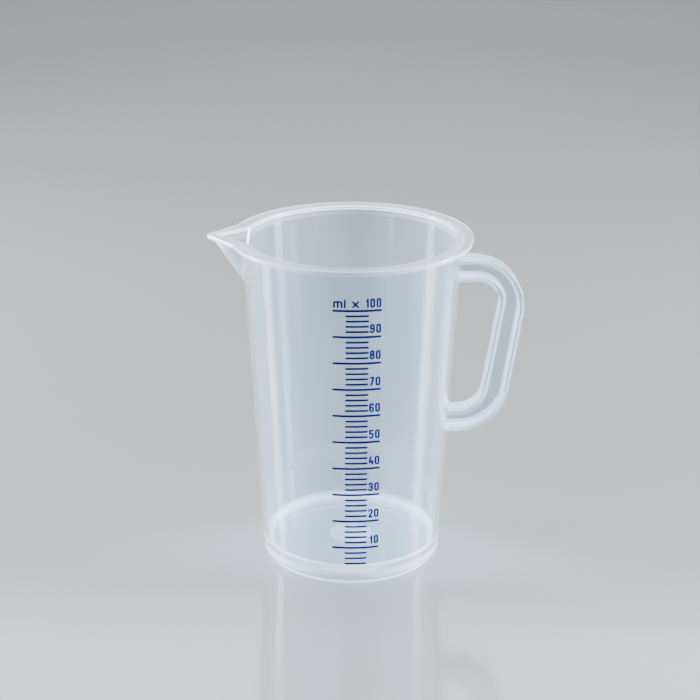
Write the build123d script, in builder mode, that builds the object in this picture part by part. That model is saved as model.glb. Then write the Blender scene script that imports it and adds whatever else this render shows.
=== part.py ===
from build123d import *
import os
from math import cos, radians, sin, tan

# A 100 ml polypropylene measuring jug with a pouring spout, a handle and a printed blue scale.
# Millimetres. The origin is on the jug's axis in the plane that it stands on, +Z is up,
# the handle points along +X, the spout along -X, and the scale faces -Y.
# The jug is one moulding. Its solids meet face to face where one moulded feature becomes the next.

os.makedirs("parts", exist_ok=True)

# ---- Vessel: a round tapered wall with a flat rim flange above and a recessed foot below
jug_height = 78.8
wall_draft = 3.06  # degrees by which the wall leans outwards
wall_radius_at_table = 21.15  # outside, if the cone went down to the table
wall_thickness = 1.1
rim_radius = 27.9
rim_thickness = 1.0
rim_root_fillet = 0.8  # between the wall and the underside of the flange
rim_edge_fillet = 0.25
mouth_fillet = 0.4  # inner top edge
foot_radius = 20.4
foot_height = 1.2
foot_inner_radius = 19.25
foot_edge_fillet = 0.25
wall_foot_fillet = 0.3  # bottom outer edge of the wall, above the foot
floor_top = 3.85
floor_thickness = 1.45
floor_radius = 18.95  # the flat part of the floor, up to where it curves into the wall
gate_radius = 5.0
gate_height = 0.4  # pad under the floor, where the plastic was fed in

# ---- Spout: two flat cheeks meeting in a straight keel, under a V-shaped lip level with the rim
keel_bottom_height = 66.7  # where the sharp keel would leave the wall
keel_top_reach = 32.35  # of the sharp keel from the axis, just under the lip
spout_half_width = 6.3  # where the cheeks leave the wall, just under the lip
spout_thickness = 1.0
keel_fillet = 1.0
lip_apex_reach = 33.5  # where the lip's two edges would meet if its tip weren't rounded
lip_half_angle = 50.5  # degrees between each edge and the spout's centre line
lip_back = 20.0  # where the V's outline ends, inside the round rim
lip_tip_fillet = 1.0
lip_root_fillet = 3.0  # where each edge leaves the round rim
lip_joint_reach = 26.3  # the flat face where the lip's solid meets the rim's

# ---- Handle: an I-section bent into a D, with a thin web between an outer and an inner flange
handle_depth = 5.2
handle_flange_thickness = 1.25
handle_web_thickness = 0.9
handle_web_fillet = 0.45
handle_edge_fillet = 0.25
handle_top = 73.75
handle_bottom = 31.0
handle_top_reach = 41.8  # the outer corners before they are rounded
handle_bottom_reach = 35.35
handle_outer_radii = (11.7, 12.0)
grip_top = 68.25  # the opening for the finger
grip_bottom = 36.5
grip_top_reach = 35.1
grip_bottom_reach = 29.95
grip_radii = (5.2, 6.0)

# ---- Scale: blue ink printed on the front of the wall, turned a little towards the handle
scale_turn = 2.8  # degrees
ink_thickness = 0.06
first_line_height = 9.86  # the 10 ml line above the table
first_step = 6.92  # from the 10 ml line up to the 20 ml line
step_loss = 0.088  # by which each later step is shorter, because the jug widens
line_step_ml = 10
short_step_ml = 2
full_scale_ml = 100
lowest_mark_ml = 4
long_line_length = 10.85
short_line_length = 5.2
long_line_width = 0.5
short_line_width = 0.46

# ---- Figures: strokes with round ends. Points are in shares of a figure's width and height,
# and the third number is the share of figure_corner_radius that a corner is rounded by.
figure_height = 2.2
figure_width = 1.1
figure_gap = 0.27
figure_stroke = 0.42
figure_lift = 0.87  # from a line's middle to the foot of the figures above it
figure_corner_radius = 0.31
heading_lift = 0.68  # the same for the heading, which stands closer to the top line
figure_inset = 0.15  # of the outermost figures from the ends of the long lines
cross_offset = 1.15  # from the scale's middle to the left edge of the cross in the heading
FIGURES = {
    "0": [[(0, 0, 1), (1, 0, 1), (1, 1, 1), (0, 1, 1), (0, 0, 1)]],
    "1": [[(0.1, 0.8, 0), (0.5, 1, 0)], [(0.5, 1, 0), (0.5, 0, 0)]],
    "2": [
        [(0, 0.8, 0), (0, 1, 1), (1, 1, 1), (1, 0.62, 0.7), (0, 0, 0)],
        [(0, 0, 0), (1, 0, 0)],
    ],
    "3": [
        [(0, 0.82, 0), (0, 1, 0.9), (1, 1, 1), (1, 0.51, 1), (0.3, 0.51, 0)],
        [(0.3, 0.51, 0), (1, 0.51, 1), (1, 0, 1), (0, 0, 0.9), (0, 0.18, 0)],
    ],
    "4": [
        [(0.42, 1, 0), (0, 0.28, 0)],
        [(0, 0.28, 0), (1.1, 0.28, 0)],
        [(0.92, 0.48, 0), (0.92, 0, 0)],
    ],
    "5": [
        [(0.95, 1, 0), (0.05, 1, 0)],
        [(0.05, 1, 0), (0.05, 0.57, 0)],
        [(0.05, 0.57, 0), (1, 0.57, 1), (1, 0, 1), (0, 0, 0)],
    ],
    "6": [
        [(0, 0, 1), (1, 0, 1), (1, 0.54, 1), (0, 0.54, 1), (0, 0, 1)],
        [(0, 0.4, 0), (0, 1, 1), (1, 1, 0.9), (1, 0.83, 0)],
    ],
    "7": [[(0, 1, 0), (1, 1, 0)], [(1, 1, 0), (0.35, 0, 0)]],
    "8": [
        [(0, 0, 1), (1, 0, 1), (1, 0.52, 1), (0, 0.52, 1), (0, 0, 1)],
        [(0.04, 0.52, 1), (0.96, 0.52, 1), (0.96, 1, 1), (0.04, 1, 1), (0.04, 0.52, 1)],
    ],
    "9": [
        [(0, 0.46, 1), (1, 0.46, 1), (1, 1, 1), (0, 1, 1), (0, 0.46, 1)],
        [(1, 0.6, 0), (1, 0, 1), (0, 0, 0.9), (0, 0.17, 0)],
    ],
    "m": [
        [(0, 0, 0), (0, 0.66, 0.7), (1.2, 0.66, 0.9), (1.2, 0, 0)],
        [(0.9, 0.66, 0), (2.4, 0.66, 0.9), (2.4, 0, 0)],
    ],
    "l": [[(0, 0, 0), (0, 0.9, 0)]],
    "x": [[(0, 0.03, 0), (1.6, 0.66, 0)], [(0, 0.66, 0), (1.6, 0.03, 0)]],
}
FIGURE_WIDTHS = {"1": 0.5, "m": 2.4, "l": 0, "x": 1.6}  # every other figure is 1 wide


def wall_outside(height):
    return wall_radius_at_table + height * tan(radians(wall_draft))


def wall_inside(height):
    return wall_outside(height) - wall_thickness


def save(part, name):
    part.label = name
    export_step(part, f"parts/{name}.step")


rim_underside = jug_height - rim_thickness
rim_bottom = rim_underside - rim_root_fillet  # the flange's solid includes its root fillet
floor_underside = floor_top - floor_thickness
clearance = 1.0  # how far cutting shapes go on past what they cut
closeness = 0.001  # edges are picked out by where they lie, to within this much

# ---- Shapes that other solids are cut with

with BuildPart() as wall_envelope:  # everything within the wall's outer surface
    with BuildSketch(Plane.XZ):
        with BuildLine():
            Polyline(
                (0, 0),
                (wall_outside(0), 0),
                (wall_outside(jug_height), jug_height),
                (0, jug_height),
                close=True,
            )
        make_face()
    revolve(axis=Axis.Z)

cheek_foot = (wall_outside(rim_underside) ** 2 - spout_half_width**2) ** 0.5
keel_bottom = Vector(-wall_outside(keel_bottom_height), 0, keel_bottom_height)
keel_top = Vector(-keel_top_reach, 0, rim_underside)


def cheek_plane(side, inset):
    """The plane of one cheek of the spout, facing outwards and moved inwards by inset."""
    cheek_top = Vector(-cheek_foot, side * spout_half_width, rim_underside)
    outwards = (keel_top - keel_bottom).cross(cheek_top - keel_top).normalized() * side
    return Plane(origin=keel_top - outwards * inset, z_dir=outwards)


def spout_wedge(inset, top):
    """What lies between the two cheeks, from inside the jug out to the keel."""
    bottom = keel_bottom_height - 6 * clearance
    start, end = wall_inside(0) - 5 * clearance, lip_apex_reach + clearance
    with BuildPart() as wedge:
        with BuildSketch(Plane.XY.offset(bottom)):
            with Locations((-(start + end) / 2, 0)):
                Rectangle(end - start, 2 * rim_radius)
        extrude(amount=top - bottom)
        split(bisect_by=cheek_plane(1, inset), keep=Keep.BOTTOM)
        split(bisect_by=cheek_plane(-1, inset), keep=Keep.BOTTOM)
        middle_edges = wedge.edges().filter_by(lambda e: abs(e.center().Y) < closeness)
        fillet(middle_edges.sort_by(Axis.X)[0], keel_fillet)
    return wedge.part


spout_block = spout_wedge(0, rim_underside)
spout_hollow = spout_wedge(spout_thickness, jug_height + clearance)

# ---- Vessel wall

with BuildPart() as vessel_wall:
    with BuildSketch(Plane.XZ):
        with BuildLine():
            corner_end_height = floor_top + wall_inside(floor_top) - floor_radius
            Polyline(
                (floor_radius, floor_top),
                (floor_radius, floor_underside),
                (foot_inner_radius, floor_underside),
                (foot_inner_radius, foot_height),
                (wall_outside(foot_height), foot_height),
                (wall_outside(rim_bottom), rim_bottom),
                (wall_inside(rim_bottom), rim_bottom),
                (wall_inside(corner_end_height), corner_end_height),
            )
            TangentArc(
                (floor_radius, floor_top),
                (wall_inside(corner_end_height), corner_end_height),
                tangent=(1, 0),
            )
        section = make_face()
        lowest_corners = section.vertices().group_by(Axis.Y)[0]
        fillet(lowest_corners.sort_by(Axis.X)[-1], wall_foot_fillet)
    revolve(axis=Axis.Z)
    add(spout_hollow, mode=Mode.SUBTRACT)
save(vessel_wall.part, "vessel_wall")

# ---- Floor, with the pad where it was gated

with BuildPart() as vessel_floor:
    with BuildSketch(Plane.XY.offset(floor_underside)):
        Circle(floor_radius)
    extrude(amount=floor_thickness)
save(vessel_floor.part, "vessel_floor")

with BuildPart() as gate_pad:
    with BuildSketch(Plane.XY.offset(floor_underside - gate_height)):
        Circle(gate_radius)
    extrude(amount=gate_height)
    fillet(gate_pad.faces().sort_by(Axis.Z)[0].edges(), gate_height / 2)
save(gate_pad.part, "gate_pad")

# ---- Foot ring

with BuildPart() as foot_ring:
    with BuildSketch():
        Circle(foot_radius)
        Circle(foot_inner_radius, mode=Mode.SUBTRACT)
    extrude(amount=foot_height)
    fillet(foot_ring.faces().sort_by(Axis.Z)[0].edges(), foot_edge_fillet)
save(foot_ring.part, "foot_ring")

# ---- Rim plate: the flat flange from its root outwards, drawn out into a V over the spout

root_end = wall_outside(rim_underside) + rim_root_fillet
lip_back_half_width = (lip_apex_reach - lip_back) * tan(radians(lip_half_angle))

with BuildPart() as rim_plate:
    with BuildSketch(Plane.XY.offset(rim_underside)) as outline:
        Circle(rim_radius)
        with BuildLine():
            Polyline(
                (-lip_apex_reach, 0),
                (-lip_back, lip_back_half_width),
                (-lip_back, -lip_back_half_width),
                close=True,
            )
        make_face()
        fillet(outline.vertices().sort_by(Axis.X)[0], lip_tip_fillet)
        inner_corners = outline.vertices().filter_by(lambda v: v.X < 0).group_by(Axis.X)[-1]
        fillet(inner_corners, lip_root_fillet)
        Circle(root_end, mode=Mode.SUBTRACT)
    extrude(amount=rim_thickness)
    rim_faces = rim_plate.faces().filter_by(Axis.Z)
    for face in rim_faces:
        fillet(face.outer_wire().edges(), rim_edge_fillet)

# ---- Rim flange with its root fillet, open where the spout's channel runs out through it

with BuildPart() as rim_flange:
    add(rim_plate.part)
    split(bisect_by=Plane.YZ.offset(-lip_joint_reach), keep=Keep.TOP)
    with BuildSketch(Plane.XZ):
        with BuildLine():
            Polyline(
                (root_end, rim_underside),
                (root_end, jug_height),
                (wall_inside(jug_height), jug_height),
                (wall_inside(rim_bottom), rim_bottom),
                (wall_outside(rim_bottom), rim_bottom),
            )
            TangentArc(
                (wall_outside(rim_bottom), rim_bottom),
                (root_end, rim_underside),
                tangent=(sin(radians(wall_draft)), cos(radians(wall_draft))),
            )
        section = make_face()
        fillet(section.vertices().group_by(Axis.Y)[-1].sort_by(Axis.X)[0], mouth_fillet)
    revolve(axis=Axis.Z)
    add(spout_hollow, mode=Mode.SUBTRACT)
save(rim_flange.part, "rim_flange")

# ---- Spout: its cheeks and keel outside the wall, then the lip that carries the rim round it

with BuildPart() as spout_channel:
    add(spout_block)
    add(spout_hollow, mode=Mode.SUBTRACT)
    add(wall_envelope.part, mode=Mode.SUBTRACT)
    add(rim_flange.part, mode=Mode.SUBTRACT)
save(spout_channel.part, "spout_channel")

with BuildPart() as spout_lip:
    add(rim_plate.part)
    split(bisect_by=Plane.YZ.offset(-lip_joint_reach), keep=Keep.BOTTOM)
    add(spout_hollow, mode=Mode.SUBTRACT)
save(spout_lip.part, "spout_lip")

# ---- Handle: one I-section solid, then parted along the flanges' inner faces

handle_root_reach = 18.0  # sketches start inside the jug, and the wall trims them


def handle_outline(inset):
    """The handle's outer outline, moved inwards by inset."""
    with BuildSketch() as outline:
        with BuildLine():
            FilletPolyline(
                (handle_root_reach, handle_bottom),
                (handle_bottom_reach, handle_bottom),
                (handle_top_reach, handle_top),
                (handle_root_reach, handle_top),
                radius=handle_outer_radii[::-1],
            )
            Line((handle_root_reach, handle_top), (handle_root_reach, handle_bottom))
        make_face()
        if inset:
            offset(amount=-inset, kind=Kind.INTERSECTION)
    return outline.sketch


def grip_outline(outset):
    """The opening for the finger, moved outwards by outset."""
    with BuildSketch() as outline:
        with BuildLine():
            FilletPolyline(
                (handle_root_reach, grip_bottom),
                (grip_bottom_reach, grip_bottom),
                (grip_top_reach, grip_top),
                (handle_root_reach, grip_top),
                radius=grip_radii[::-1],
            )
            Line((handle_root_reach, grip_top), (handle_root_reach, grip_bottom))
        make_face()
        if outset:
            offset(amount=outset, kind=Kind.INTERSECTION)
    return outline.sketch


half_web = handle_web_thickness / 2
half_depth = handle_depth / 2

with BuildPart() as handle:
    with BuildSketch(Plane.XZ):
        add(handle_outline(0))
        add(grip_outline(0), mode=Mode.SUBTRACT)
    extrude(amount=half_depth, both=True)
    for side in (1, -1):
        with BuildSketch(Plane.XZ.offset(side * half_depth)):
            add(handle_outline(handle_flange_thickness))
            add(grip_outline(handle_flange_thickness), mode=Mode.SUBTRACT)
        extrude(amount=-side * (half_depth - half_web), mode=Mode.SUBTRACT)
    web_edges = handle.edges().filter_by(lambda e: abs(abs(e.center().Y) - half_web) < closeness)
    fillet(web_edges, handle_web_fillet)
    side_edges = handle.edges().filter_by(lambda e: abs(abs(e.center().Y) - half_depth) < closeness)
    long_edges = side_edges.filter_by(lambda e: e.center().X > handle_root_reach + closeness)
    fillet(long_edges, handle_edge_fillet)
    add(wall_envelope.part, mode=Mode.SUBTRACT)


def handle_piece(name, larger, smaller):
    """The part of the handle between two outlines, seen from the side."""
    with BuildPart() as piece:
        with BuildSketch(Plane.XZ):
            add(larger)
            add(smaller, mode=Mode.SUBTRACT)
        extrude(amount=handle_depth, both=True)
        add(handle.part, mode=Mode.INTERSECT)
    save(piece.part, name)


web_outline = handle_outline(handle_flange_thickness)
web_opening = grip_outline(handle_flange_thickness)
handle_piece("handle_outer_flange", handle_outline(0), web_outline)
handle_piece("handle_web", web_outline, web_opening)
handle_piece("handle_inner_flange", web_opening, grip_outline(0))

# ---- Scale: each mark is cut from a skin of ink that lies on the wall's conical surface

turn = radians(scale_turn)
scale_plane = Plane(
    origin=(0, 0, 0), x_dir=(cos(turn), sin(turn), 0), z_dir=(sin(turn), -cos(turn), 0)
)
ink_reach = rim_radius  # how far out the marks' prisms go, past the wall

ink_bottom = foot_height + wall_foot_fillet

with BuildPart() as ink_skin:
    with BuildSketch(Plane.XZ):
        with BuildLine():
            Polyline(
                (wall_outside(ink_bottom), ink_bottom),
                (wall_outside(ink_bottom) + ink_thickness, ink_bottom),
                (wall_outside(rim_bottom) + ink_thickness, rim_bottom),
                (wall_outside(rim_bottom), rim_bottom),
                close=True,
            )
        make_face()
    revolve(axis=Axis.Z)


def line_height(ml):
    """Height of a graduation. Steps get shorter by the same amount each, from the 10 ml line up."""
    steps = ml / line_step_ml - 1
    return first_line_height + steps * first_step - steps * (steps - 1) / 2 * step_loss


def print_ink(shape, name):
    """Lay a flat drawing onto the front of the wall as ink."""
    with BuildPart() as ink:
        with BuildSketch(scale_plane):
            add(shape)
        extrude(amount=ink_reach)
        add(ink_skin.part, mode=Mode.INTERSECT)
    save(ink.part, name)


def lines(graduations, length, width):
    """Level lines with round ends at the given graduations."""
    with BuildSketch() as drawing:
        with Locations([(0, line_height(ml)) for ml in graduations]):
            SlotOverall(length, width)
    return drawing.sketch


def figures(text, foot, left=None, right=None):
    """Draw text with its feet at a height, from its left edge or up to its right edge."""
    box_width = figure_width - figure_stroke
    box_height = figure_height - figure_stroke
    box_foot = foot + figure_stroke / 2
    widths = [FIGURE_WIDTHS.get(character, 1) * box_width for character in text]
    advance = figure_stroke + figure_gap
    if left is None:
        left = right - sum(widths) - advance * (len(text) - 1) - figure_stroke
    with BuildSketch() as drawing:
        x = left + figure_stroke / 2
        for character, width in zip(text, widths):
            for stroke in FIGURES[character]:
                points = [(x + u * box_width, box_foot + v * box_height) for u, v, _ in stroke]
                closed = points[0] == points[-1]
                radii = [share * figure_corner_radius for _, _, share in stroke]
                with BuildLine():
                    if len(points) == 2:
                        Line(*points)
                    else:
                        FilletPolyline(*points, radius=radii[:-1] if closed else radii[1:-1])
                trace(line_width=figure_stroke)
                if not closed:
                    with Locations(points[0], points[-1]):
                        Circle(figure_stroke / 2)
            x += width + advance
    return drawing.sketch


half_long = long_line_length / 2
for ml in range(line_step_ml, full_scale_ml + 1, line_step_ml):
    print_ink(lines([ml], long_line_length, long_line_width), f"mark_{ml}_ml")
    lowest = max(ml - line_step_ml + short_step_ml, lowest_mark_ml)
    between = range(lowest, ml, short_step_ml)
    short_lines = lines(between, short_line_length, short_line_width)
    print_ink(short_lines, f"marks_{between[0]}_to_{between[-1]}_ml")
    lift = heading_lift if ml == full_scale_ml else figure_lift
    number = figures(str(ml), line_height(ml) + lift, right=half_long - figure_inset)
    print_ink(number, f"figures_{ml}")

heading_foot = line_height(full_scale_ml) + heading_lift
print_ink(figures("ml", heading_foot, left=figure_inset - half_long), "unit_ml")
print_ink(figures("x", heading_foot, left=-cross_offset), "unit_cross")
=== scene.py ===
from collections import namedtuple
from math import atan2, cos, degrees, hypot, isclose, pi, radians, sin, sqrt, tan

import bmesh
import bpy
from mathutils import Matrix, Vector


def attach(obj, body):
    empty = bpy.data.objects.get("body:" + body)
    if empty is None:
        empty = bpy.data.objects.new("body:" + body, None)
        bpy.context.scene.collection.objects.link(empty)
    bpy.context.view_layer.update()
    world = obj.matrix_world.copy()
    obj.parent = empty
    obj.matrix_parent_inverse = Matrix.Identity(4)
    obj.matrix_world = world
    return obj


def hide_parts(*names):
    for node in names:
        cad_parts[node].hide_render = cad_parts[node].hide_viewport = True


# Looks for a translucent polypropylene measuring jug. The jug's lengths are millimetres, in the CAD model's
# frame: the axis is Z, the handle points along +X, the spout along -X, and the scale faces -Y. They become
# metres when a mesh is made. The stage, the lights and the camera are given in metres.

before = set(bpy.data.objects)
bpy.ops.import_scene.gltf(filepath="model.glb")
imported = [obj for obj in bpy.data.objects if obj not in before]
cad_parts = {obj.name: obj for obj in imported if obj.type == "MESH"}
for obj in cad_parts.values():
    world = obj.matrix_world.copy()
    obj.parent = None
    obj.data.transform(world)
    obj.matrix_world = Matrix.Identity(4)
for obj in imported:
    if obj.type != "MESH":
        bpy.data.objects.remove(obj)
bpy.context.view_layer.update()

MM = 0.001

# ---- Vessel
JUG_HEIGHT = 78.8
WALL_DRAFT = radians(3.06)
WALL_RADIUS_AT_TABLE = 21.15
WALL_THICKNESS = 1.1
RIM_RADIUS = 27.9
RIM_THICKNESS = 1.0
RIM_ROOT_FILLET = 0.8
RIM_EDGE_FILLET = 0.25
MOUTH_FILLET = 0.4
FOOT_RADIUS = 20.4
FOOT_HEIGHT = 1.2
FOOT_INNER_RADIUS = 19.25
FOOT_EDGE_FILLET = 0.25
WALL_FOOT_FILLET = 0.3
FLOOR_TOP = 3.85
FLOOR_THICKNESS = 1.45
FLOOR_RADIUS = 18.95
GATE_RADIUS = 5.0
GATE_HEIGHT = 0.4

# ---- Spout
KEEL_BOTTOM_HEIGHT = 66.7
KEEL_TOP_REACH = 32.35
SPOUT_HALF_WIDTH = 6.3
SPOUT_THICKNESS = 1.0
KEEL_ROUNDING = 0.012  # how far either side of the middle the keel is round, as the sine of an angle
LIP_APEX_REACH = 33.5
LIP_HALF_ANGLE = radians(50.5)
LIP_ROUNDING = 0.011
LIP_BLEND = 0.22  # how soon the V-shaped lip and the round rim run into each other
CHEEK_BLEND = 0.32  # the same for the cheeks and the wall's outside
THROAT_BLEND = 0.65  # and for the channel and the wall's inside, which has a wider rounded edge
SPOUT_SECTOR = radians(35)  # the spout lies within this angle either side of -X
SPOUT_ROWS_BOTTOM = KEEL_BOTTOM_HEIGHT - 2  # from here up the wall's mesh has many rows
KEEL_SPAN = 2.1  # degrees either side of -X where the mesh is finest
CHEEK_SPAN = 21  # and where it is fine

# ---- Handle
HANDLE_DEPTH = 5.2
HANDLE_FLANGE = 1.25
HANDLE_WEB = 0.9
HANDLE_WEB_FILLET = 0.45
HANDLE_EDGE_FILLET = 0.25
HANDLE_OUTSIDE = [(0, 73.75), (41.8, 73.75), (35.35, 31.0), (0, 31.0)]
HANDLE_OUTSIDE_RADII = [11.7, 12.0]
HANDLE_INSIDE = [(0, 68.25), (35.1, 68.25), (29.95, 36.5), (0, 36.5)]
HANDLE_INSIDE_RADII = [5.2, 6.0]
HANDLE_STEPS = 14  # stations along each straight run and each corner of the handle

RIM_UNDERSIDE = JUG_HEIGHT - RIM_THICKNESS
RIM_BOTTOM = RIM_UNDERSIDE - RIM_ROOT_FILLET
FLOOR_UNDERSIDE = FLOOR_TOP - FLOOR_THICKNESS
RIM_SOLID_BOTTOM = RIM_BOTTOM - 0.5  # where the rim's visual solid meets the wall's
BASE_BAND_TOP = 3.4  # below this the wall runs into the floor and the foot, and gets the whiter plastic: partly the thick plastic's milkiness, partly a painted highlight
WEB_ROOT = HANDLE_WEB / 2 + HANDLE_WEB_FILLET  # how far to either side the web's roots reach on a flange


# ======== Shapes of the moulding's surfaces ========


def wall_outside(height):
    """Radius of the wall's outer cone."""
    return WALL_RADIUS_AT_TABLE + height * tan(WALL_DRAFT)


def wall_inside(height):
    """Radius of the wall's inner cone."""
    return wall_outside(height) - WALL_THICKNESS


def soft_max(a, b, blend):
    """The larger of two numbers, with a rounded change from one to the other."""
    overlap = max(blend - abs(a - b), 0) / blend
    return max(a, b) + overlap * overlap * blend / 4


def cheek_normal():
    """Outward normal of the spout's cheek on the +Y side."""
    reach = sqrt(wall_outside(RIM_UNDERSIDE) ** 2 - SPOUT_HALF_WIDTH**2)
    keel_bottom = Vector((-wall_outside(KEEL_BOTTOM_HEIGHT), 0, KEEL_BOTTOM_HEIGHT))
    keel_top = Vector((-KEEL_TOP_REACH, 0, RIM_UNDERSIDE))
    cheek_top = Vector((-reach, SPOUT_HALF_WIDTH, RIM_UNDERSIDE))
    return (keel_top - keel_bottom).cross(cheek_top - keel_top).normalized()


CHEEK = cheek_normal()


def spout_reach(angle, height, inset):
    """Distance from the axis to the spout's cheek, moved inwards by inset. The angle starts at -X."""
    if abs(angle) > SPOUT_SECTOR:
        return 0
    toward_cheek = -CHEEK.x * cos(angle) + CHEEK.y * hypot(sin(angle), KEEL_ROUNDING)
    offset = -CHEEK.x * KEEL_TOP_REACH + CHEEK.z * (RIM_UNDERSIDE - height) - inset
    return offset / toward_cheek


def lip_reach(angle):
    """Distance from the axis to the lip's V-shaped edge."""
    if abs(angle) > SPOUT_SECTOR:
        return 0
    across = hypot(sin(angle), LIP_ROUNDING) * cos(LIP_HALF_ANGLE)
    return LIP_APEX_REACH * sin(LIP_HALF_ANGLE) / (cos(angle) * sin(LIP_HALF_ANGLE) + across)


def bulge_outside(angle, height):
    """How far the spout pushes the wall's outside away from its cone."""
    cone = wall_outside(height)
    return soft_max(cone, spout_reach(angle, height, 0), CHEEK_BLEND) - cone


def bulge_inside(angle, height):
    """How far the spout's channel pushes the wall's inside away from its cone."""
    cone = wall_inside(height)
    return soft_max(cone, spout_reach(angle, height, SPOUT_THICKNESS), THROAT_BLEND) - cone


def bulge_lip(angle, height):
    """How far the lip stands out past the round rim."""
    return soft_max(RIM_RADIUS, lip_reach(angle), LIP_BLEND) - RIM_RADIUS


def no_bulge(angle, height):
    """For a surface that stays round at the spout."""
    return 0


# ======== Meshes ========

SHARP_ANGLE = radians(32)  # an edge that bends by more than this is shaded crisp
SAME_POINT = 1e-5  # points of a new mesh that are closer than this are one
CAD_SAME_POINT = 1e-4  # the same for a mesh copied from the CAD model


def spread(start, end, steps):
    """Evenly spaced numbers from start to end, both included."""
    return [start + (end - start) * i / steps for i in range(steps + 1)]


def spout_columns():
    """Angles from -X all the way round, close together at the spout."""
    keel = spread(0, KEEL_SPAN, 10)
    cheeks = spread(KEEL_SPAN, CHEEK_SPAN, 42)[1:]
    rest = spread(CHEEK_SPAN, 180, 80)[1:]
    half = keel + cheeks + rest
    return [radians(a) for a in [-a for a in reversed(half[1:-1])] + half]


COLUMNS = spout_columns()

# Which of its piece's materials a stretch has. The third is the whiter plastic: milkier where the plastic
# is thick, and partly a painted highlight along edges
SKIN, JOINT, THICK_AND_HIGHLIGHT = 0, 1, 2

# A point moves with one surface at the spout, and says what the stretch to the next point is
SectionPoint = namedtuple("SectionPoint", "radius height bulge stretch")


class Section:
    """A closed outline of radius and height, which is turned round the axis to make a solid."""

    def __init__(self):
        self.points = []

    def add(self, radius, height, bulge=no_bulge):
        self.points.append(SectionPoint(radius, height, bulge, SKIN))
        return self

    def then(self, stretch):
        """Say what the stretch is that starts at the last point."""
        self.points[-1] = self.points[-1]._replace(stretch=stretch)
        return self

    def corner(self, centre, radius, start, end, bulge=no_bulge, steps=6, stretch=SKIN):
        """A rounded corner about a centre, between two directions in degrees, both ends included."""
        for angle in spread(start, end, steps):
            across, up = cos(radians(angle)), sin(radians(angle))
            self.add(centre[0] + radius * across, centre[1] + radius * up, bulge).then(stretch)
        return self.then(SKIN)


def finish_mesh(name, mesh_builder, materials, node_names):
    """Turn a bmesh in millimetres into a piece that stands for CAD nodes."""
    bmesh.ops.recalc_face_normals(mesh_builder, faces=mesh_builder.faces)
    for edge in mesh_builder.edges:
        edge.smooth = len(edge.link_faces) == 2 and edge.calc_face_angle(pi) < SHARP_ANGLE
    for face in mesh_builder.faces:
        face.smooth = True
    bmesh.ops.scale(mesh_builder, vec=(MM, MM, MM), verts=mesh_builder.verts)
    mesh = bpy.data.meshes.new(name)
    mesh_builder.to_mesh(mesh)
    mesh_builder.free()
    for material in materials:
        mesh.materials.append(material)
    piece = bpy.data.objects.new(name, mesh)
    bpy.context.scene.collection.objects.link(piece)
    weighting = piece.modifiers.new("even_shading", "WEIGHTED_NORMAL")
    weighting.keep_sharp = True
    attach(piece, "root")
    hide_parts(*node_names)
    return piece


def turned_piece(name, section, materials, *node_names):
    """A solid made by turning a section round the axis, pushed out at the spout."""
    builder = bmesh.new()
    rings = []
    for point in section.points:
        ring = []
        for angle in COLUMNS:
            reach = point.radius + (point.bulge(angle, point.height) if point.radius else 0)
            ring.append(builder.verts.new((-reach * cos(angle), reach * sin(angle), point.height)))
        rings.append(ring)
    for point, ring, next_ring in zip(section.points, rings, rings[1:] + rings[:1]):
        for left in range(len(COLUMNS)):
            right = (left + 1) % len(COLUMNS)
            face = builder.faces.new((ring[left], ring[right], next_ring[right], next_ring[left]))
            face.material_index = point.stretch
    bmesh.ops.remove_doubles(builder, verts=builder.verts, dist=SAME_POINT)
    bmesh.ops.dissolve_degenerate(builder, edges=builder.edges, dist=SAME_POINT)
    # Two neighbouring points on the axis leave a bare edge, which is no part of the solid's surface
    left_on_axis = [edge for edge in builder.edges if not edge.link_faces]
    bmesh.ops.delete(builder, geom=left_on_axis, context="EDGES")
    return finish_mesh(name, builder, materials, node_names)


# ======== Materials ========

NATURAL = ((0.70, 0.82, 0.95), (0.80, 0.89, 0.98))  # the tint of a thin wall, between two shades
MILKY_AND_HIGHLIGHT = ((0.86, 0.92, 0.98), (0.93, 0.96, 1.0))  # the same plastic where it is thick, also a painted highlight along the rim's, the foot's and the floor's edges
LAMP_TINT = (0.86, 0.88, 0.91, 1)  # what one surface of the plastic leaves of a lamp's light
INK_SHADES = ((0.0, 0.005, 0.14), (0.0, 0.012, 0.24))
STAGE_SHADES = ((0.215, 0.225, 0.235), (0.23, 0.24, 0.25))
PLASTIC_IOR = 1.49
ROUGHNESS_SPREAD = 0.15  # how far the roughness wanders either way, as a share of itself
NOISE_LOW, NOISE_HIGH = 0.3, 0.7  # most of a noise's values lie between these


def new_material(name):
    """A material, its nodes and links, and its main shader."""
    material = bpy.data.materials.new(name)
    material.use_nodes = True
    nodes = material.node_tree.nodes
    return material, nodes, material.node_tree.links, nodes["Principled BSDF"]


def noise(nodes, links, scale, detail, stretch=(1, 1, 1)):
    """Noise on the object's own coordinates. The scale is in features per metre."""
    place = nodes.new("ShaderNodeTexCoord")
    mapping = nodes.new("ShaderNodeMapping")
    mapping.inputs["Scale"].default_value = stretch
    texture = nodes.new("ShaderNodeTexNoise")
    texture.inputs["Scale"].default_value = scale
    texture.inputs["Detail"].default_value = detail
    links.new(place.outputs["Object"], mapping.inputs["Vector"])
    links.new(mapping.outputs["Vector"], texture.inputs["Vector"])
    return texture.outputs["Fac"]


def ramp(nodes, links, factor, low, high):
    """Spread a noise's middle range over two numbers or two colours."""
    node = nodes.new("ShaderNodeValToRGB")
    node.color_ramp.elements[0].position = NOISE_LOW
    node.color_ramp.elements[1].position = NOISE_HIGH
    for element, value in zip(node.color_ramp.elements, (low, high)):
        element.color = (*value, 1) if isinstance(value, tuple) else (value, value, value, 1)
    links.new(factor, node.inputs["Fac"])
    return node.outputs["Color"]


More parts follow.
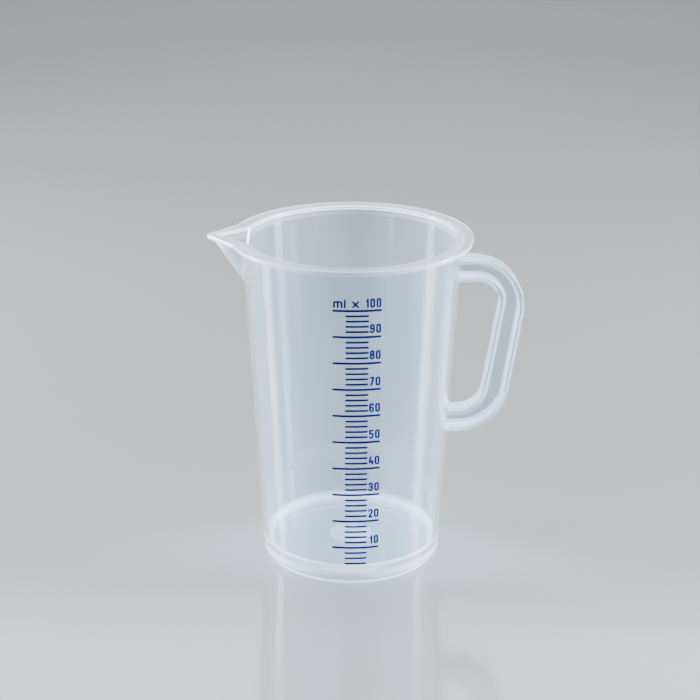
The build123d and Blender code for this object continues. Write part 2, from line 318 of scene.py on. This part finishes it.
def polypropylene(name, roughness, clearness, shades=NATURAL):
    """Natural polypropylene: milky, see-through, a little blurred, with a smooth moulded skin.
    Lamps shine through it, dimmed, so that what stands behind or inside it isn't in the dark."""
    material, nodes, links, shader = new_material(name)
    cloud = noise(nodes, links, scale=90, detail=3, stretch=(1, 1, 0.35))
    links.new(ramp(nodes, links, cloud, *shades), shader.inputs["Base Color"])
    grain = noise(nodes, links, scale=900, detail=2)
    smoothest, roughest = roughness * (1 - ROUGHNESS_SPREAD), roughness * (1 + ROUGHNESS_SPREAD)
    links.new(ramp(nodes, links, grain, smoothest, roughest), shader.inputs["Roughness"])
    shader.inputs["Transmission Weight"].default_value = clearness
    shader.inputs["IOR"].default_value = PLASTIC_IOR
    shader.inputs["Coat Weight"].default_value = 0.5
    shader.inputs["Coat Roughness"].default_value = 0.06
    shader.inputs["Coat IOR"].default_value = PLASTIC_IOR
    shader.inputs["Sheen Weight"].default_value = 0.2
    shader.inputs["Sheen Roughness"].default_value = 0.5
    light_path = nodes.new("ShaderNodeLightPath")
    lamp_light = nodes.new("ShaderNodeBsdfTransparent")
    lamp_light.inputs["Color"].default_value = LAMP_TINT
    mix = nodes.new("ShaderNodeMixShader")
    links.new(light_path.outputs["Is Shadow Ray"], mix.inputs["Fac"])
    links.new(shader.outputs["BSDF"], mix.inputs[1])
    links.new(lamp_light.outputs["BSDF"], mix.inputs[2])
    links.new(mix.outputs["Shader"], nodes["Material Output"].inputs["Surface"])
    return material


def joint_inside_moulding():
    """Where two solids of the one moulding meet there is no surface at all."""
    material, _, _, shader = new_material("joint_inside_moulding")
    shader.inputs["Alpha"].default_value = 0
    return material


def ink_material():
    """Dark blue printing ink, a little lighter in places, with hardly any shine."""
    material, nodes, links, shader = new_material("scale_ink")
    patches = noise(nodes, links, scale=1500, detail=3)
    links.new(ramp(nodes, links, patches, *INK_SHADES), shader.inputs["Base Color"])
    shader.inputs["Roughness"].default_value = 0.6
    shader.inputs["Specular IOR Level"].default_value = 0.12
    return material


wall_plastic = polypropylene("polypropylene", 0.06, 0.965)
# Whiter plastic: partly the milkiness of thick plastic, partly a painted highlight along edges
thick_and_highlight_plastic = polypropylene("polypropylene_thick_and_painted_highlight", 0.12, 0.66, MILKY_AND_HIGHLIGHT)
rim_plastic = polypropylene("polypropylene_rim", 0.08, 0.86)
flange_plastic = polypropylene("polypropylene_flange", 0.09, 0.74)
web_plastic = polypropylene("polypropylene_web", 0.06, 0.97)
gate_plastic = polypropylene("polypropylene_gate", 0.22, 0.75)
no_surface = joint_inside_moulding()
ink = ink_material()
WALL_MATERIALS = (wall_plastic, no_surface, thick_and_highlight_plastic)
RIM_MATERIALS = (rim_plastic, no_surface, thick_and_highlight_plastic)


# ======== Vessel ========


def wall_piece():
    """The tapered wall with the spout's cheeks and channel in it. Its lower end and the ring round the
    floor are whiter: thick plastic there, and partly a painted highlight.
    """
    corner_radius = wall_inside(FLOOR_TOP) - FLOOR_RADIUS
    corner_end = FLOOR_TOP + corner_radius
    rows = spread(RIM_SOLID_BOTTOM, SPOUT_ROWS_BOTTOM, 30) + spread(SPOUT_ROWS_BOTTOM, corner_end, 6)[1:]
    outer_corner = (wall_outside(FOOT_HEIGHT) - WALL_FOOT_FILLET, FOOT_HEIGHT + WALL_FOOT_FILLET)
    section = Section()
    section.add(FLOOR_RADIUS, FLOOR_UNDERSIDE).then(THICK_AND_HIGHLIGHT)
    section.add(FOOT_INNER_RADIUS, FLOOR_UNDERSIDE).then(THICK_AND_HIGHLIGHT)
    section.add(FOOT_INNER_RADIUS, FOOT_HEIGHT).then(JOINT)
    section.add(FOOT_RADIUS, FOOT_HEIGHT)
    section.corner(outer_corner, WALL_FOOT_FILLET, -90, 0).then(THICK_AND_HIGHLIGHT)
    section.add(wall_outside(BASE_BAND_TOP), BASE_BAND_TOP)
    for height in reversed(rows):
        section.add(wall_outside(height), height, bulge_outside)
    section.then(JOINT)
    for height in rows[:-1]:
        section.add(wall_inside(height), height, bulge_inside)
    section.corner((FLOOR_RADIUS, corner_end), corner_radius, 0, -90, steps=8, stretch=THICK_AND_HIGHLIGHT)
    section.then(JOINT)
    return turned_piece("wall_with_spout", section, WALL_MATERIALS, "vessel_wall", "spout_channel")


def rim_piece():
    """The flat rim with its root fillet, drawn out into the pouring lip."""
    bottom = RIM_SOLID_BOTTOM
    root = (wall_outside(RIM_UNDERSIDE) + RIM_ROOT_FILLET, RIM_BOTTOM)
    edge = RIM_EDGE_FILLET
    edge_reach = RIM_RADIUS - edge
    mouth_height = JUG_HEIGHT - MOUTH_FILLET
    mouth = (wall_inside(mouth_height) + MOUTH_FILLET, mouth_height)
    section = Section()
    section.add(wall_inside(bottom), bottom, bulge_inside).then(JOINT)
    section.add(wall_outside(bottom), bottom, bulge_outside)
    section.corner(root, RIM_ROOT_FILLET, 180, 90, bulge_outside, steps=8)
    # The rim's outer edges, its outer face and the mouth's rounding are whiter: a painted highlight, partly
    # the milkiness of the thick flange
    section.corner((edge_reach, RIM_UNDERSIDE + edge), edge, -90, 0, bulge_lip, stretch=THICK_AND_HIGHLIGHT)
    section.then(THICK_AND_HIGHLIGHT)
    section.corner((edge_reach, JUG_HEIGHT - edge), edge, 0, 90, bulge_lip, stretch=THICK_AND_HIGHLIGHT)
    section.corner(mouth, MOUTH_FILLET, 90, 180, bulge_inside, stretch=THICK_AND_HIGHLIGHT)
    for height in spread(mouth_height, bottom, 5)[1:-1]:
        section.add(wall_inside(height), height, bulge_inside)
    return turned_piece("rim_with_lip", section, RIM_MATERIALS, "rim_flange", "spout_lip")


def floor_piece():
    """The vessel's flat floor, inside the ring of the wall's lower end."""
    section = Section()
    section.add(0, FLOOR_UNDERSIDE).then(JOINT)
    section.add(GATE_RADIUS, FLOOR_UNDERSIDE)
    section.add(FLOOR_RADIUS, FLOOR_UNDERSIDE).then(JOINT)
    section.add(FLOOR_RADIUS, FLOOR_TOP)
    section.add(0, FLOOR_TOP)
    return turned_piece("floor", section, WALL_MATERIALS, "vessel_floor")


def gate_piece():
    """The pad under the floor where the plastic was fed in, whiter and duller than the rest."""
    bottom = FLOOR_UNDERSIDE - GATE_HEIGHT
    rounding = GATE_HEIGHT / 2
    section = Section()
    section.add(0, bottom)
    section.corner((GATE_RADIUS - rounding, bottom + rounding), rounding, -90, 0, steps=4)
    section.add(GATE_RADIUS, FLOOR_UNDERSIDE).then(JOINT)
    section.add(0, FLOOR_UNDERSIDE)
    return turned_piece("gate", section, (gate_plastic, no_surface), "gate_pad")


def foot_piece():
    """The ring that the jug stands on, whiter along its bottom edges as a painted highlight."""
    rounding = FOOT_EDGE_FILLET
    section = Section()
    inner, outer = FOOT_INNER_RADIUS + rounding, FOOT_RADIUS - rounding
    # The bottom edges are in the whiter plastic: a painted highlight
    section.corner((inner, rounding), rounding, 180, 270, steps=4, stretch=THICK_AND_HIGHLIGHT).then(THICK_AND_HIGHLIGHT)
    section.corner((outer, rounding), rounding, -90, 0, steps=4, stretch=THICK_AND_HIGHLIGHT)
    section.add(FOOT_RADIUS, FOOT_HEIGHT).then(JOINT)
    section.add(FOOT_INNER_RADIUS, FOOT_HEIGHT)
    return turned_piece("foot", section, WALL_MATERIALS, "foot_ring")


# ======== Handle ========


def rounded_path(corners, radii, steps):
    """Points along straight runs joined by round corners, with the same number on each.
    They are seen from the side: x is the distance from the axis, and y is the height."""
    points = [Vector(c) for c in corners]
    path = []
    start = points[0]
    for before, corner, after, radius in zip(points, points[1:], points[2:], radii):
        back = (before - corner).normalized()
        onward = (after - corner).normalized()
        half_angle = back.angle(onward) / 2
        entry = corner + back * radius / tan(half_angle)
        leave = corner + onward * radius / tan(half_angle)
        centre = corner + (back + onward).normalized() * radius / sin(half_angle)
        turn = pi - 2 * half_angle
        path += [start.lerp(entry, t) for t in spread(0, 1, steps)[:-1]]
        for t in spread(0, 1, steps)[:-1]:
            spoke = (entry - centre) * sin((1 - t) * turn) + (leave - centre) * sin(t * turn)
            path.append(centre + spoke / sin(turn))
        start = leave
    return path + [start.lerp(points[-1], t) for t in spread(0, 1, steps)]


def quarter(centre, radius, start, end, steps=5):
    """Points of a rounded corner in a cross-section."""
    angles = [radians(a) for a in spread(start, end, steps)]
    return [(centre[0] + radius * cos(a), centre[1] + radius * sin(a)) for a in angles]


def flange_half():
    """One side of a flange's cross-section, from its outer face to where the web starts."""
    edge = HANDLE_EDGE_FILLET
    side = HANDLE_DEPTH / 2 - edge
    points = quarter((edge, side), edge, 180, 90)
    points += quarter((HANDLE_FLANGE - edge, side), edge, 90, 0)
    return points + [(HANDLE_FLANGE, WEB_ROOT)]


def web_half(width):
    """One side of the web's cross-section, between the flanges, with its root fillets."""
    fillet = HANDLE_WEB_FILLET
    points = quarter((HANDLE_FLANGE + fillet, WEB_ROOT), fillet, 180, 270)
    return points + quarter((width - HANDLE_FLANGE - fillet, WEB_ROOT), fillet, 270, 360)


def closed_section(half):
    """A whole cross-section: one side and its mirror image."""
    return half + [(depth, -side) for depth, side in reversed(half)]


def outer_flange_section(width):
    """The cross-section of the flange on the handle's outside, whatever the handle's width."""
    return closed_section(flange_half())


def web_section(width):
    """The web's cross-section, between the flanges of a handle of this width."""
    return closed_section(web_half(width))


def inner_flange_section(width):
    """The cross-section of the flange that the finger meets: the outer flange's, turned round."""
    return [(width - depth, side) for depth, side in closed_section(flange_half())]


def crosses_web_root(side, next_side):
    """Whether a stretch of a cross-section is the face where the web and a flange meet."""
    return side * next_side < 0 and isclose(abs(side), WEB_ROOT)


def handle_piece(name, section_of, material, node_name):
    """Carry a cross-section round the handle. Its ends stop at the wall's outside."""
    outside = rounded_path(HANDLE_OUTSIDE, HANDLE_OUTSIDE_RADII, HANDLE_STEPS)
    inside = rounded_path(HANDLE_INSIDE, HANDLE_INSIDE_RADII, HANDLE_STEPS)
    builder = bmesh.new()
    rings = []
    for outer, inner in zip(outside, inside):
        inwards = (inner - outer).normalized()
        section = section_of((inner - outer).length)
        ring = []
        for depth, side in section:
            point = outer + inwards * depth
            on_wall = sqrt(wall_outside(point.y) ** 2 - side**2)
            ring.append(builder.verts.new((max(point.x, on_wall), side, point.y)))
        rings.append(ring)
    sides = [side for _, side in section]
    for ring, next_ring in zip(rings, rings[1:]):
        for index, side in enumerate(sides):
            following = (index + 1) % len(sides)
            corners = (ring[index], ring[following], next_ring[following], next_ring[index])
            face = builder.faces.new(corners)
            face.material_index = JOINT if crosses_web_root(side, sides[following]) else SKIN
    for ring in (rings[0], rings[-1]):
        cap = builder.faces.new(ring)
        cap.material_index = JOINT
    bmesh.ops.dissolve_degenerate(builder, edges=builder.edges, dist=SAME_POINT)
    return finish_mesh(name, builder, (material, no_surface), (node_name,))


# ======== Scale ========


def ink_piece(node_name):
    """A printed mark: the CAD solid's outline, laid finely round the wall's cone."""
    builder = bmesh.new()
    builder.from_mesh(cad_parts[node_name].data)
    bmesh.ops.scale(builder, vec=(1 / MM, 1 / MM, 1 / MM), verts=builder.verts)
    bmesh.ops.remove_doubles(builder, verts=builder.verts, dist=CAD_SAME_POINT)
    lift = builder.verts.layers.float.new("lift")
    for vert in builder.verts:
        vert[lift] = hypot(vert.co.x, vert.co.y) - wall_outside(vert.co.z)
    turns = [degrees(atan2(v.co.x, -v.co.y)) for v in builder.verts]
    for turn in range(int(min(turns)), int(max(turns)) + 1):  # cut at every whole degree
        across = (cos(radians(turn)), sin(radians(turn)), 0)
        geometry = builder.verts[:] + builder.edges[:] + builder.faces[:]
        bmesh.ops.bisect_plane(builder, geom=geometry, plane_co=(0, 0, 0), plane_no=across, dist=SAME_POINT)
    for vert in builder.verts:
        scale = (wall_outside(vert.co.z) + vert[lift]) / hypot(vert.co.x, vert.co.y)
        vert.co.x *= scale
        vert.co.y *= scale
    return finish_mesh("printed_" + node_name, builder, (ink,), (node_name,))


# ======== Stage, light and camera ========


def pale_floor():
    """A wide plain floor, just under the jug's foot. It is glossy enough for the side softboxes, mirrored
    in it, to show as two upright streaks on the jug's wall."""
    half, gap = 3.0, 0.0001
    mesh = bpy.data.meshes.new("studio_floor")
    corners = [(-half, -half, 0), (half, -half, 0), (half, half, 0), (-half, half, 0)]
    mesh.from_pydata(corners, [], [(0, 1, 2, 3)])
    material, nodes, links, shader = new_material("studio_floor")
    shade = noise(nodes, links, scale=3, detail=2)
    links.new(ramp(nodes, links, shade, *STAGE_SHADES), shader.inputs["Base Color"])
    shader.inputs["Roughness"].default_value = 0.12
    mesh.materials.append(material)
    stage = bpy.data.objects.new("studio_floor", mesh)
    stage.location.z = -gap
    bpy.context.scene.collection.objects.link(stage)


def soft_light(name, place, aim, size, power):
    """A rectangular softbox at a place, facing a point."""
    data = bpy.data.lights.new(name, "AREA")
    data.shape = "RECTANGLE"
    data.size, data.size_y = size
    data.energy = power
    light = bpy.data.objects.new(name, data)
    light.location = place
    light.visible_camera = False
    light.rotation_euler = (Vector(aim) - Vector(place)).to_track_quat("-Z", "Y").to_euler()
    bpy.context.scene.collection.objects.link(light)


def studio():
    """A pale sky, a tall softbox low on either side, one above, and one that lights the floor behind."""
    world = bpy.data.worlds.new("studio")
    world.use_nodes = True
    background = world.node_tree.nodes["Background"]
    background.inputs["Color"].default_value = (0.90, 0.95, 1.0, 1)
    background.inputs["Strength"].default_value = 0.24
    bpy.context.scene.world = world
    middle = (0, 0, 0.045)
    soft_light("left_softbox", (-0.50, 0.10, 0.16), middle, (0.10, 0.3), 13)
    soft_light("right_softbox", (0.50, 0.02, 0.15), middle, (0.10, 0.3), 12)
    soft_light("top_softbox", (0.0, 0.30, 0.75), middle, (0.7, 0.5), 6)
    soft_light("back_softbox", (0.0, 1.0, 0.85), (0, 0.9, 0), (1.2, 0.8), 20)


def photo_camera():
    """The camera, in front of the jug and above it, tilted down."""
    distance, height = 0.3860, 0.1958
    pitch, yaw, roll = radians(20.616), radians(0.056), radians(0.157)
    field_of_view = radians(22.527)
    data = bpy.data.cameras.new("camera")
    data.angle = field_of_view
    camera = bpy.data.objects.new("camera", data)
    aim = Matrix.Rotation(yaw, 4, "Z") @ Matrix.Rotation(pi / 2 - pitch, 4, "X")
    camera.matrix_world = Matrix.Translation((0, -distance, height)) @ aim @ Matrix.Rotation(roll, 4, "Z")
    bpy.context.scene.collection.objects.link(camera)
    bpy.context.scene.camera = camera


photo_camera()
pale_floor()
studio()

wall_piece()
rim_piece()
floor_piece()
gate_piece()
foot_piece()

handle_piece("outer_flange", outer_flange_section, flange_plastic, "handle_outer_flange")
handle_piece("web", web_section, web_plastic, "handle_web")
handle_piece("inner_flange", inner_flange_section, flange_plastic, "handle_inner_flange")

for node_name in sorted(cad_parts):
    if node_name.startswith(("mark", "figures", "unit")):
        ink_piece(node_name)
